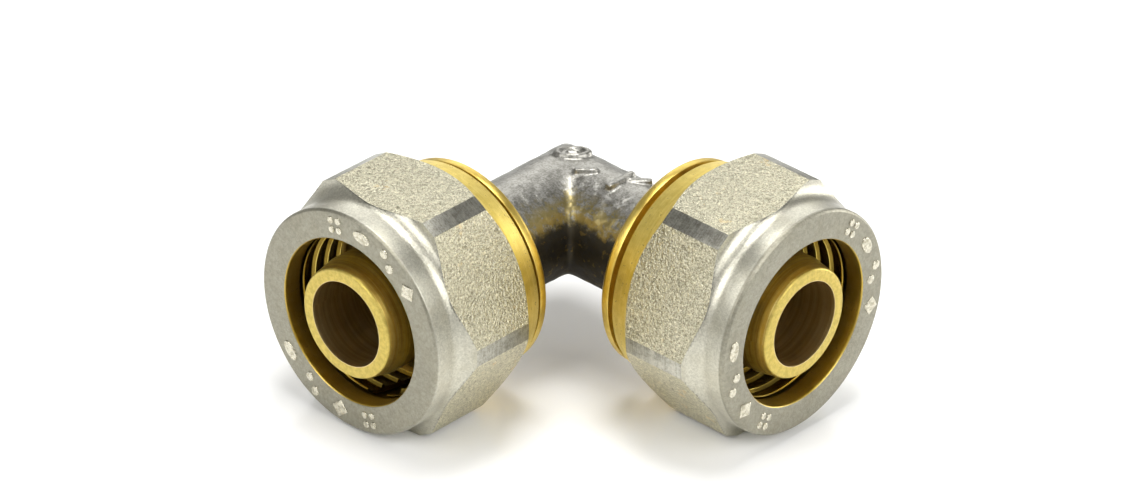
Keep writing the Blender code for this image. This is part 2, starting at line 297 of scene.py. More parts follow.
def turned(name, outline, steps=FINE_STEPS, closed=True):
    """A ring drawn out step by step along an outline of (radius, height) points."""
    bpy.ops.object.select_all(action="DESELECT")
    radius, height = outline[0]
    bpy.ops.mesh.primitive_circle_add(vertices=steps, radius=radius, location=(0, 0, height))
    piece = named(name)
    bpy.ops.object.mode_set(mode="EDIT")
    bpy.ops.mesh.select_mode(type="EDGE")
    bpy.ops.mesh.select_all(action="SELECT")
    stops = outline[1:] + outline[:1] if closed else outline[1:]
    for next_radius, next_height in stops:
        bpy.ops.mesh.extrude_region_move(
            TRANSFORM_OT_translate={"value": (0, 0, next_height - height)})
        growth = next_radius / radius
        bpy.ops.transform.resize(value=(growth, growth, 1), center_override=(0, 0, 0))
        radius, height = next_radius, next_height
    if not closed:
        bpy.ops.mesh.select_all(action="SELECT")
        bpy.ops.mesh.remove_doubles(threshold=MERGE)
        bpy.ops.mesh.select_all(action="DESELECT")
        bpy.ops.mesh.select_non_manifold()
        bpy.ops.mesh.fill_holes(sides=0)
    end_edit()
    return piece


def helical_rib(name, inner, outer, gap, start, turns):
    """A thread's trapezium swept up round Z, closed at both ends."""
    def half_width(radius):
        narrowing = (radius - THREAD_ROOT_RADIUS) * math.tan(THREAD_FLANK)
        return THREAD_ROOT_WIDTH / 2 - narrowing + gap / math.cos(THREAD_FLANK)

    centre = ((inner + outer) / 2, 0, start)
    bpy.ops.object.select_all(action="DESELECT")
    bpy.ops.mesh.primitive_plane_add(size=1, location=centre, rotation=(math.pi / 2, 0, 0))
    bpy.context.object.scale = (outer - inner, 2 * half_width(inner), 1)
    rib = named(name)
    begin_edit(rib)
    pick(rib, "verts", lambda vert: vert.co.x > centre[0])
    narrowing = half_width(outer) / half_width(inner)
    bpy.ops.transform.resize(value=(1, 1, narrowing), center_override=centre)
    bpy.ops.mesh.select_all(action="SELECT")
    bpy.ops.mesh.delete(type="ONLY_FACE")
    bpy.ops.object.mode_set(mode="OBJECT")
    steps = round(turns * THREAD_STEPS)
    apply_modifier(rib, "SCREW", axis="Z", angle=math.tau * turns,
                   screw_offset=THREAD_PITCH * turns, steps=steps, render_steps=steps,
                   iterations=1, use_merge_vertices=False)
    begin_edit(rib)
    bpy.ops.mesh.select_mode(type="EDGE")
    bpy.ops.mesh.select_non_manifold()
    bpy.ops.mesh.fill_holes(sides=0)
    end_edit()
    return rib


def finish_piece(piece, paints, finishes, finish_of=None, smooth_angle=32):
    """Give a piece one finish, or the one that finish_of names for each face, and smooth it."""
    piece.data.materials.clear()
    for finish in finishes:
        piece.data.materials.append(paints[finish])
    for face in piece.data.polygons:
        face.material_index = finishes.index(finish_of(face)) if finish_of else 0
    bpy.ops.object.select_all(action="DESELECT")
    bpy.context.view_layer.objects.active = piece
    piece.select_set(True)
    bpy.ops.object.shade_smooth_by_angle(angle=math.radians(smooth_angle))


def settle(piece, body, node):
    """Let a finished piece ride on its body in place of its CAD node."""
    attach(piece, body)
    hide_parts(node)


def on_leg(side, height=0.0):
    """The matrix that turns a piece from the Z axis onto a leg, moved out by a height."""
    return Matrix.Translation(CROSSING) @ LEG_TURN[side] @ Matrix.Translation((0, 0, height))


def nut_front(side):
    """The height of a nut's front face, as far out as its turn on the thread puts it."""
    return NUT_FRONT + THREAD_PITCH * NUT_TURN[side] / math.tau


# Pieces

def nut_outline():
    """Outer and inner sides of a nut, with its front face at height 0."""
    chamfer = 0.00022
    points = [(COLLAR_RADIUS - chamfer, 0.0), (COLLAR_RADIUS, -chamfer)]
    points.append((COLLAR_RADIUS, -COLLAR_LENGTH))
    shoulder_steps = 12
    for step in range(1, shoulder_steps):
        angle = math.pi / 2 * step / shoulder_steps
        radius = COLLAR_RADIUS + SHOULDER_RADIUS * (1 - math.cos(angle))
        points.append((radius, -COLLAR_LENGTH - SHOULDER_RADIUS * math.sin(angle)))
    points += [(CORNER_RADIUS, points[-1][1] - SKIN), (CORNER_RADIUS, -REAR_CONE_DEPTH)]
    cone = CORNER_RADIUS - REAR_BAND_RADIUS
    points += [(REAR_BAND_RADIUS, -REAR_CONE_DEPTH - cone), (REAR_RIM_RADIUS, -NUT_LENGTH)]
    lead_in = 0.0004
    points += [(NUT_MINOR_RADIUS + lead_in, -NUT_LENGTH), (NUT_MINOR_RADIUS, -NUT_LENGTH + lead_in)]
    points.append((NUT_MINOR_RADIUS, -NUT_THREAD_END))
    wedge = NUT_CAVITY_RADIUS - NUT_HOLE_RADIUS
    points += [(NUT_CAVITY_RADIUS, -NUT_THREAD_END), (NUT_CAVITY_RADIUS, -NUT_LIP - wedge)]
    mouth = 0.00012
    points += [(NUT_HOLE_RADIUS, -NUT_LIP), (NUT_HOLE_RADIUS, -mouth)]
    points.append((NUT_HOLE_RADIUS + mouth, 0.0))
    return points


def hexagon_bar():
    """A hexagonal bar with cut corners, one flat square to +X."""
    sharp_radius = ACROSS_FLATS / 2 / math.cos(math.radians(30))
    bpy.ops.object.select_all(action="DESELECT")
    bpy.ops.mesh.primitive_cylinder_add(vertices=6, radius=sharp_radius, depth=3 * NUT_LENGTH)
    bar = named("hexagon_bar")
    begin_edit(bar)
    pick(bar, "edges", lambda edge: abs(edge.verts[0].co.z - edge.verts[1].co.z) > NUT_LENGTH)
    bpy.ops.mesh.bevel(offset_type="WIDTH", offset=CORNER_WIDTH, segments=1, affect="EDGES")
    end_edit()
    return bar


def raised_mark(kind, angle):
    """One kind of raised mark at its angle on a nut's front face, with softened edges."""
    softness = MARK_HEIGHT * 0.9
    parts = []
    for corners, reach, place in MARKS[kind]:
        bpy.ops.object.select_all(action="DESELECT")
        bpy.ops.mesh.primitive_cylinder_add(vertices=corners, radius=1.0, depth=2 * MARK_HEIGHT,
                                            location=(place[0] * MM, place[1] * MM, 0))
        bpy.context.object.scale = (reach[0] * MM, reach[1] * MM, 1)
        part = named("mark")
        begin_edit(part)
        pick(part, "edges", lambda edge: min(vert.co.z for vert in edge.verts) > 0)
        bpy.ops.mesh.bevel(offset=softness, segments=3, affect="EDGES")
        end_edit()
        parts.append(part)
    mark = parts[0]
    for other in parts[1:]:
        combine(mark, other, "UNION")
    spot = Matrix.Rotation(angle, 4, "Z") @ Matrix.Translation((MARK_RADIUS, 0, 0))
    put(mark, spot @ Matrix.Rotation(math.pi / 2, 4, "Z"))
    return mark


def make_nut_blank():
    """The hexagon nut with its thread, front face at height 0, before it gets its marks."""
    nut = turned("nut_blank", rounded(nut_outline(), size=NUT_ROUNDING))
    combine(nut, hexagon_bar(), "INTERSECT")
    begin_edit(nut)
    beyond_collar = COLLAR_RADIUS + SKIN
    sharp = math.radians(9)

    def is_crest(edge):
        if len(edge.link_faces) != 2 or edge.calc_face_angle() < sharp:
            return False
        return all(math.hypot(vert.co.x, vert.co.y) > beyond_collar for vert in edge.verts)

    pick(nut, "edges", is_crest)
    bpy.ops.mesh.bevel(offset=EDGE_ROUNDING, segments=2, affect="EDGES", clamp_overlap=True)
    end_edit()
    overlap = 0.0003
    turns_before = 1
    turns_after = 0.5
    start = THREAD_START - turns_before * THREAD_PITCH - NUT_FRONT
    groove = helical_rib("nut_groove", NUT_MINOR_RADIUS - overlap, NUT_ROOT_RADIUS,
                         THREAD_FLANK_GAP, start, THREAD_TURNS + turns_before + turns_after)
    # Half a step along its own helix keeps the groove's corners off the nut's
    half_step = math.pi / THREAD_STEPS
    climb = Matrix.Translation((0, 0, THREAD_PITCH * half_step / math.tau))
    put(groove, climb @ Matrix.Rotation(half_step, 4, "Z"))
    combine(nut, groove, "DIFFERENCE")
    return nut


def make_nut(side, blank, paints):
    """One nut on its leg, with two rows of marks on its face."""
    nut = duplicate(blank, f"{side}_hex_nut")
    turn = NUT_TURN[side]
    put(nut, Matrix.Rotation(turn, 4, "Z"))
    kinds = tuple(MARKS)
    for row, (first, step) in enumerate(MARK_ROWS[side]):
        for place in range(len(kinds)):
            kind = kinds[(place + row) % len(kinds)]
            combine(nut, raised_mark(kind, math.radians(first + step * place)), "UNION")

    flat_distance = ACROSS_FLATS / 2
    flat_angles = [turn + math.tau * flat / 6 for flat in range(6)]
    flat_sides = [(math.cos(angle), math.sin(angle)) for angle in flat_angles]
    bevel_depth = 0.00006
    collar_margin = 0.00002
    # How far a face's normal may lean before it counts as sloping, facing the rear or facing out
    level, rearward, inward = 0.02, -0.05, 0.3

    def finish_of(face):
        centre, normal = face.center, face.normal
        if centre.z > TOUCH:
            return "worn"
        radius = math.hypot(centre.x, centre.y)
        distance = centre.x * normal.x + centre.y * normal.y
        in_hole = radius < NUT_HOLE_RADIUS + SKIN
        in_cavity = (radius < NUT_ROOT_RADIUS + SKIN and centre.z < -NUT_LIP
                     and distance / radius < inward)
        on_rear = normal.z < rearward and centre.z < -REAR_CONE_DEPTH
        if in_hole or in_cavity or on_rear:
            return "turned brass"
        if abs(normal.z) > level:
            reach = max(centre.x * x + centre.y * y for x, y in flat_sides)
            return "burnished" if reach > flat_distance - bevel_depth else "satin"
        if radius < COLLAR_RADIUS + collar_margin:
            return "satin"
        return "blasted" if abs(distance - flat_distance) < TOUCH else "burnished"

    finish_piece(nut, paints, NUT_FINISHES, finish_of)
    put(nut, on_leg(side, nut_front(side)))
    settle(nut, NUT_BODY[side], f"{side}_nut")


def ring_outline():
    """Outer and ridged inner sides of a split ring, with the nut's front face at height 0."""
    base = RING_GRIP_RADIUS + RIDGE_HEIGHT
    front = -RING_FRONT
    rear = front - RING_LENGTH
    wedge = RING_RADIUS - RING_GRIP_RADIUS - SKIN
    points = [(RING_GRIP_RADIUS + SKIN, front), (RING_RADIUS, front - wedge), (RING_RADIUS, rear)]
    points.append((base, rear))
    crest, steep_foot, slack_foot = 0.00004, 0.00016, 0.0002
    for ridge in range(RIDGE_COUNT, 0, -1):
        height = front - RIDGE_PITCH * ridge
        points += [(base, height - steep_foot), (RING_GRIP_RADIUS, height - crest)]
        points += [(RING_GRIP_RADIUS, height + crest), (base, height + slack_foot)]
    lip_edge, lip_foot = 0.00015, 0.0004
    points += [(base, front - lip_foot), (RING_GRIP_RADIUS, front - lip_edge)]
    return points


def make_ring(side, paints):
    """A compression ring with gripping ridges and a slanted split."""
    ring = turned(f"{side}_compression_ring", rounded(ring_outline(), size=RING_ROUNDING))
    slit_depth = 0.002
    bpy.ops.object.select_all(action="DESELECT")
    bpy.ops.mesh.primitive_cube_add(
        size=1, location=((RING_RADIUS + RING_GRIP_RADIUS) / 2, 0, -RING_FRONT),
        rotation=(SPLIT_SLANT, 0, 0))
    bpy.context.object.scale = (slit_depth, SPLIT_WIDTH, 3 * RING_LENGTH)
    combine(ring, named("slit"), "DIFFERENCE")
    finish_piece(ring, paints, ["ring brass"])
    put(ring, on_leg(side, nut_front(side)) @ Matrix.Rotation(SPLIT_ANGLE[side], 4, "Z"))
    settle(ring, RING_BODY[side], f"{side}_split_ring")


def make_seal(side, place, paints):
    """An O-ring with the faint flash line of its mould."""
    centre = GROOVE_RADIUS + CLEARANCE + O_RING_RADIUS
    flash = 0.00004
    corners = 24
    outline = []
    for step in range(corners):
        angle = -math.tau * step / corners
        reach = O_RING_RADIUS + (flash if step % (corners // 2) == 0 else 0.0)
        outline.append((centre + reach * math.cos(angle), reach * math.sin(angle)))
    seal = turned(f"{side}_{place}_seal", outline, steps=SEAL_STEPS)
    finish_piece(seal, paints, ["rubber"], smooth_angle=60)
    put(seal, on_leg(side, GROOVES[place]))
    settle(seal, "elbow", f"{side}_{place}_o_ring")


def make_washer(side, paints):
    """The white insulating washer on the socket floor."""
    bottom = SOCKET_FLOOR + CLEARANCE
    top = bottom + WASHER_THICKNESS
    lip = 0.0003
    outline = [(WASHER_RADIUS, top), (WASHER_RADIUS, bottom), (WASHER_HOLE_RADIUS, bottom)]
    outline += [(WASHER_HOLE_RADIUS, top - lip / 2), (WASHER_HOLE_RADIUS + lip, top)]
    washer = turned(f"{side}_washer", rounded(outline, size=WASHER_ROUNDING))
    finish_piece(washer, paints, ["plastic"])
    put(washer, on_leg(side))
    settle(washer, "elbow", f"{side}_insulating_washer")


def leg_outline():
    """One leg as a solid of revolution: insert, socket, threaded spigot, flange and tube."""
    core = 0.0005
    chamfer = 0.0004
    tip = 0.00012
    points = [(core, INSERT_END), (INSERT_TIP_RADIUS - tip, INSERT_END)]
    points.append((INSERT_TIP_RADIUS, INSERT_END - tip))
    height = INSERT_END - NOSE_LENGTH
    for _ in range(BARB_COUNT):
        points.append((INSERT_RADIUS, height))
        points.append((INSERT_RADIUS - BARB_DEPTH, height - SKIN))
        height -= BARB_PITCH
    points.append((INSERT_RADIUS, height))
    for groove in sorted(GROOVES.values(), reverse=True):
        top = groove + GROOVE_WIDTH / 2
        bottom = groove - GROOVE_WIDTH / 2
        points += [(INSERT_RADIUS, top), (GROOVE_RADIUS, top)]
        points += [(GROOVE_RADIUS, bottom), (INSERT_RADIUS, bottom)]
    points.append((INSERT_RADIUS, SOCKET_FLOOR))
    points += [(SOCKET_RADIUS, SOCKET_FLOOR), (SOCKET_RADIUS, SPIGOT_END - chamfer)]
    points.append((SOCKET_RADIUS + chamfer, SPIGOT_END))
    points.append((THREAD_ROOT_RADIUS - chamfer / 2, SPIGOT_END))
    points.append((THREAD_ROOT_RADIUS, SPIGOT_END - chamfer / 2))
    points += [(THREAD_ROOT_RADIUS, FLANGE_FRONT), (FLANGE_RADIUS, FLANGE_FRONT)]
    points += [(FLANGE_RADIUS, FLANGE_BACK + chamfer), (FLANGE_RADIUS - chamfer, FLANGE_BACK)]
    # The leg's root, buried in the forging
    outside, inside, drop, stub = 0.0003, 0.0004, 0.0002, 0.0008
    points += [(TUBE_RADIUS + outside, FLANGE_BACK), (TUBE_RADIUS - inside, FLANGE_BACK - drop)]
    points += [(TUBE_RADIUS - stub, FLANGE_BACK - stub), (core, FLANGE_BACK - stub)]
    return points


def mitred_rod(name, radius, reach):
    """A rod along both legs with a sharp corner: one half cut on the slant and mirrored."""
    bpy.ops.object.select_all(action="DESELECT")
    bpy.ops.mesh.primitive_cylinder_add(
        vertices=TUBE_STEPS, radius=radius, depth=2 * reach, rotation=(0, math.pi / 2, 0))
    rod = named(name)
    begin_edit(rod)
    bpy.ops.mesh.select_all(action="SELECT")
    slant = (math.sqrt(0.5), math.sqrt(0.5), 0)
    bpy.ops.mesh.bisect(plane_co=(0, 0, 0), plane_no=slant, clear_inner=True, use_fill=False)
    bpy.ops.object.mode_set(mode="OBJECT")
    twin = duplicate(rod, f"{name}_twin")
    swap = Matrix(((0, -1, 0), (-1, 0, 0), (0, 0, 1))).to_4x4()
    put(twin, swap)
    bpy.context.view_layer.objects.active = rod
    rod.select_set(True)
    bpy.ops.object.join()
    begin_edit(rod)
    end_edit()
    return rod


def forged_tube():
    """The rough forged knee of the body, with softened corners and generic raised marks."""
    extra_radius = 0.00005
    into_flange = 0.0018
    corner_reach = 0.0066
    tube = mitred_rod("forged_tube", TUBE_RADIUS + extra_radius, FLANGE_BACK + into_flange)
    begin_edit(tube)
    bpy.ops.mesh.select_all(action="SELECT")
    outward = Vector((-1, 1, 0)).normalized()
    bpy.ops.mesh.bisect(plane_co=outward * corner_reach, plane_no=outward,
                        clear_outer=True, use_fill=True)
    end_edit()
    coarse_voxel, fine_voxel = 0.0002, 0.00015
    apply_modifier(tube, "REMESH", mode="VOXEL", voxel_size=coarse_voxel, adaptivity=0)
    apply_modifier(tube, "SMOOTH", factor=0.5, iterations=40)
    # Generic marks on the tube's top: each one's place, how deep it is sunk, its size and its
    # turn in degrees
    oval_place, oval_sunk = (-0.0003, 0.0009), 0.00002
    bars = (
        (oval_place, 0.00004, (0.0010, 0.0003, 0.0005), 42),
        ((0.0030, -0.0008), 0.00004, (0.0021, 0.0007, 0.0008), 42),
        ((0.0065, 0.0001), 0.00019, (0.0007, 0.0036, 0.0011), 0),
        ((0.0078, 0.0015), 0.00024, (0.0021, 0.0007, 0.0009), 42),
    )
    bpy.ops.object.select_all(action="DESELECT")
    bpy.ops.mesh.primitive_torus_add(
        major_segments=32, minor_segments=8, major_radius=0.0011, minor_radius=0.0003,
        location=(*oval_place, TUBE_RADIUS - oval_sunk),
        rotation=(math.radians(-10), 0, math.radians(45)))
    bpy.context.object.scale = (1.35, 0.95, 1)
    combine(tube, named("oval_mark"), "UNION")
    for place, sunk, size, turn in bars:
        bpy.ops.object.select_all(action="DESELECT")
        bpy.ops.mesh.primitive_cube_add(size=1, location=(*place, TUBE_RADIUS - sunk),
                                        rotation=(0, 0, math.radians(turn)))
        bpy.context.object.scale = size
        combine(tube, named("forging_mark"), "UNION")
    apply_modifier(tube, "REMESH", mode="VOXEL", voxel_size=fine_voxel, adaptivity=0)
    apply_modifier(tube, "SMOOTH", factor=0.5, iterations=4)
    for size, depth in (FORGING_WAVE, FORGING_GRAIN):
        grain = bpy.data.textures.new("forging_grain", "CLOUDS")
        grain.noise_scale = size
        grain.noise_depth = 2
        apply_modifier(tube, "DISPLACE", texture=grain, texture_coords="LOCAL",
                       strength=depth, mid_level=0.5)
    return tube


def make_elbow(paints):
    """The one-piece body: forged knee, two machined legs and the water way."""
    body = forged_tube()
    overlap = 0.0002
    past_end = 0.002
    for side, turn in LEG_TURN.items():
        leg = turned(f"{side}_leg", rounded(leg_outline(), closed=False), closed=False)
        rib = helical_rib("thread", THREAD_ROOT_RADIUS - overlap, THREAD_CREST_RADIUS, 0.0,
                          THREAD_START, THREAD_TURNS)
        combine(leg, rib, "UNION")
        put(leg, turn)
        combine(body, leg, "UNION")
    combine(body, mitred_rod("water_way", WATER_BORE_RADIUS, INSERT_END + past_end), "DIFFERENCE")
    body.name = "forged_body"
    body.data.name = "forged_body"
    bore_margin = 0.00003

    def finish_of(face):
        centre = face.center
        along, across = (centre.x, centre.y) if centre.x > -centre.y else (-centre.y, centre.x)
        radius = math.hypot(across, centre.z)
        in_bore = radius < WATER_BORE_RADIUS + bore_margin
        return "machined brass" if along > FLANGE_BACK - SKIN or in_bore else "forging"

    finish_piece(body, paints, BODY_FINISHES, finish_of, smooth_angle=35)
    put(body, Matrix.Translation(CROSSING))
    settle(body, "elbow", "elbow_body")


# Materials

class Value:
    """A shader socket that takes part in Python expressions."""

    def __init__(self, paint, socket):
        self.paint = paint
        self.socket = socket

    def maths(self, operation, *others):
        return self.paint.node("ShaderNodeMath", {"operation": operation},
                               dict(enumerate((self, *others))))

    def __add__(self, other):
        return self.maths("ADD", other)

    __radd__ = __add__

    def __mul__(self, other):
        return self.maths("MULTIPLY", other)

    __rmul__ = __mul__

    def __sub__(self, other):
        return self.maths("SUBTRACT", other)

    def __rsub__(self, other):
        return (self * -1) + other

    def __pow__(self, other):
        return self.maths("POWER", other)

    def above(self, edge, softness):
        """0 below the edge and 1 above it, with a soft step between."""
        return self.paint.node(
            "ShaderNodeMapRange", {"interpolation_type": "SMOOTHSTEP"},
            {"Value": self, "From Min": edge - softness, "From Max": edge + softness})

    def below(self, edge, softness):
        return 1 - self.above(edge, softness)


class Nodes:
    """A node tree that grows by expressions."""

    def __init__(self, tree):
        self.tree = tree

    def node(self, kind, settings, sockets, output=0):
        """Add a node: its settings first, then the values or links of its sockets."""
        made = self.tree.nodes.new(kind)
        for setting, value in settings.items():
            setattr(made, setting, value)
        for socket, value in sockets.items():
            self.join(made.inputs[socket], value)
        return Value(self, made.outputs[output])

    def join(self, socket, value):
        """Link a value to a socket, or set the socket to a number or colour."""
        if isinstance(value, Value):
            self.tree.links.new(value.socket, socket)
        elif isinstance(value, tuple) and len(socket.default_value) == 4:
            socket.default_value = (*value, 1.0)
        else:
            socket.default_value = value

    def mix(self, factor, first, second):
        """The first colour where the factor is 0, and the second where it is 1."""
        return self.node("ShaderNodeMix", {"data_type": "RGBA"},
                         {0: factor, 6: first, 7: second}, 2)


class Paint(Nodes):
    """One procedural material on a Principled shader, on coordinates in millimetres."""

    def __init__(self, name, metallic=1.0, **constants):
        self.material = bpy.data.materials.new(name)
        self.material.use_nodes = True
        super().__init__(self.material.node_tree)
        self.shader = self.tree.nodes["Principled BSDF"]
        self.set("Metallic", metallic)
        for socket, value in constants.items():
            self.set(socket, value)
        place = self.node("ShaderNodeTexCoord", {}, {}, "Object")
        centred = self.vector("SUBTRACT", place, tuple(CROSSING))
        self.place = self.node("ShaderNodeVectorMath", {"operation": "SCALE"},
                               {0: centred, "Scale": 1 / MM})

    def set(self, socket, value):
        """Drive or set one of the shader's own sockets."""
        self.join(self.shader.inputs[socket], value)

    def vector(self, operation, first, second):
        return self.node("ShaderNodeVectorMath", {"operation": operation}, {0: first, 1: second})

    def noise(self, scale, detail=3.0, roughness=0.5, place=None):
        """Noise with about `scale` lumps to a millimetre."""
        return self.node("ShaderNodeTexNoise", {},
                         {"Vector": place or self.place, "Scale": scale, "Detail": detail,
                          "Roughness": roughness})

    def specks(self, scale):
        """The distance to the nearest of many scattered points."""
        return self.node("ShaderNodeTexVoronoi", {"feature": "F1"},
                         {"Vector": self.place, "Scale": scale})

    def finished(self, colour, roughness, height, depth):
        """The material, given a colour, a roughness and a relief as deep as some millimetres."""
        bump = self.node("ShaderNodeBump", {}, {"Height": height, "Distance": depth * MM})
        self.set("Base Color", colour)
        self.set("Roughness", roughness)
        self.set("Normal", bump)
        return self.material

    def combine(self, x, y, z):
        return self.node("ShaderNodeCombineXYZ", {}, {0: x, 1: y, 2: z})

    def axes(self):
        """The three coordinates from the crossing of the legs, in millimetres."""
        return [self.node("ShaderNodeSeparateXYZ", {}, {0: self.place}, i) for i in range(3)]

    def leg(self, side):
        """Distance along a leg and away from its axis, and the angle round it."""
        x, y, z = self.axes()
        along, across = (x, y) if side == "right" else (y * -1, x)
        radius = (across * across + z * z) ** 0.5
        angle = z.maths("ARCTAN2", across)
        return along, radius, angle


def blasted_nickel(side):
    """Coarse sparkling grain of the hexagon's flats, with a few spots worn to the brass."""
    paint = Paint(f"{side} blasted nickel")
    grain = paint.noise(3.4, 2.0, 0.6)
    sparkle = paint.noise(7.5, 2.0, 0.7)
    cells = paint.specks(4.6)
    broad = paint.noise(0.35, 3.0)
    tone = (sparkle * 0.6 + grain * 0.4).above(0.5, 0.16)
    light = paint.mix(broad, (0.72, 0.68, 0.50), (0.81, 0.77, 0.60))
    colour = paint.mix(tone, (0.30, 0.28, 0.20), light)
    pits = paint.noise(1.9, 2.0, 0.5).above(0.69, 0.02)
    colour = paint.mix(pits * 0.6, colour, (0.20, 0.18, 0.12))
    wear = paint.noise(0.42, 4.0, 0.65).above(0.66, 0.03)
    colour = paint.mix(wear * 0.45, colour, (0.72, 0.54, 0.26))
    return paint.finished(colour, 0.36 + grain * 0.2,
                          grain * 0.55 + sparkle * 0.3 + cells * 0.35, 0.22)


def satin_nickel(side):
    """Finer satin plating of the shoulders and collar, duller on the front face."""
    paint = Paint(f"{side} satin nickel")
    along, radius, angle = paint.leg(side)
    grain = paint.noise(5.0, 3.0, 0.6)
    fine = paint.noise(11.0, 2.0, 0.7)
    broad = paint.noise(0.5, 3.0)
    streaks = paint.noise(1.0, 2.0, 0.5, paint.combine(angle * 22, along * 1.2, radius * 1.2))
    tone = (grain * 0.5 + fine * 0.4 + streaks * 0.1).above(0.5, 0.18)
    colour = paint.mix(tone, (0.42, 0.405, 0.33), (0.66, 0.64, 0.54))
    colour = paint.mix(broad.above(0.55, 0.15) * 0.3, colour, (0.40, 0.37, 0.27))
    face = along.above(NUT_FRONT / MM - 0.2, 0.1)
    blotches = paint.noise(2.6, 4.0, 0.7).above(0.5, 0.14)
    dull = paint.mix(blotches, (0.155, 0.143, 0.10), (0.255, 0.238, 0.175))
    colour = paint.mix(face * 0.6, colour, dull)
    return paint.finished(colour, 0.24 + grain * 0.14 + face * 0.11,
                          grain * 0.55 + fine * 0.4 + streaks * 0.05, 0.045)


def burnished_nickel(side):
    """Smoother, darker plating of the corner strips and bevelled edges, with fine scratches."""
    paint = Paint(f"{side} burnished nickel")
    along, radius, angle = paint.leg(side)
    grain = paint.noise(6.0, 3.0, 0.6)
    scratches = paint.noise(1.0, 3.0, 0.6, paint.combine(along * 6, angle * 3, radius * 2))
    mottle = paint.noise(1.4, 4.0, 0.65)
    tone = (grain * 0.3 + scratches * 0.3 + mottle * 0.4).above(0.5, 0.12)
    colour = paint.mix(tone, (0.27, 0.26, 0.215), (0.53, 0.515, 0.445))
    return paint.finished(colour, 0.24 + grain * 0.12, grain * 0.6 + scratches * 0.4, 0.028)


def worn_nickel(side):
    """Plating of the raised marks, rubbed bright, with some grime."""
    paint = Paint(f"{side} worn nickel")
    rub = paint.noise(2.4, 3.0, 0.6)
    grime = paint.noise(4.0, 2.0, 0.6)
    colour = paint.mix(rub.above(0.47, 0.12), (0.44, 0.41, 0.31), (0.72, 0.685, 0.56))
    colour = paint.mix(grime.above(0.62, 0.06) * 0.3, colour, (0.42, 0.33, 0.16))
    return paint.finished(colour, 0.20 + grime * 0.14, rub * 0.7 + grime * 0.3, 0.035)


def turned_brass(side):
    """Machined brass of a nut's rear and hole, with fine tool rings, and painted shade that makes
    it darker and browner inside.
    """
    paint = Paint(f"{side} turned brass")
    along, radius, angle = paint.leg(side)
    rings = paint.noise(1.0, 3.0, 0.7, paint.combine(along * 9, radius * 9, angle * 0.4))
    broad = paint.noise(0.5, 3.0, 0.6)
    mottle = paint.noise(1.3, 4.0, 0.65)
    dirt = paint.noise(2.6, 3.0, 0.6).above(0.66, 0.03)
    tone = (rings * 0.5 + mottle * 0.5).above(0.5, 0.14)
    colour = paint.mix(tone, (0.74, 0.57, 0.12), (0.95, 0.78, 0.26))
    colour = paint.mix(broad.above(0.5, 0.2) * 0.5, colour, (0.82, 0.63, 0.14))
    colour = paint.mix(dirt * 0.6, colour, (0.34, 0.22, 0.05))
    # Painted shade: the hole and the cavity are darker and browner
    inside = radius.below(NUT_MINOR_RADIUS / MM - 0.05, 0.1)
    colour = paint.mix(inside * 0.6, colour, (0.40, 0.25, 0.03))
    return paint.finished(colour, 0.40 + mottle * 0.2 - inside * 0.12,
                          rings * 0.2 + mottle * 0.6 - dirt * 0.3, 0.045)


def ring_brass(side):
    """Hard brass of the split ring, with painted shade between its ridges and a painted highlight
    on their crests.
    """
    paint = Paint(f"{side} ring brass")
    along, radius, angle = paint.leg(side)
    rings = paint.noise(1.0, 3.0, 0.7, paint.combine(along * 11, radius * 11, angle * 0.6))
    stain = paint.noise(1.1, 4.0, 0.6).above(0.55, 0.12)
    crest = radius.below(RING_GRIP_RADIUS / MM + 0.05, 0.03)
    colour = paint.mix(rings.above(0.5, 0.2), (0.48, 0.34, 0.05), (0.66, 0.48, 0.10))
    colour = paint.mix(stain * 0.4, colour, (0.30, 0.20, 0.03))
    # Painted shade darkens the hollows between the ridges, and a painted highlight brightens their
    # crests
    shaded_hollow = paint.mix(0.7, colour, (0.10, 0.06, 0.008))
    bright = paint.mix(0.6, colour, (0.90, 0.70, 0.18))
    colour = paint.mix(crest, shaded_hollow, bright)
    return paint.finished(colour, 0.18 + rings * 0.14, rings, 0.01)


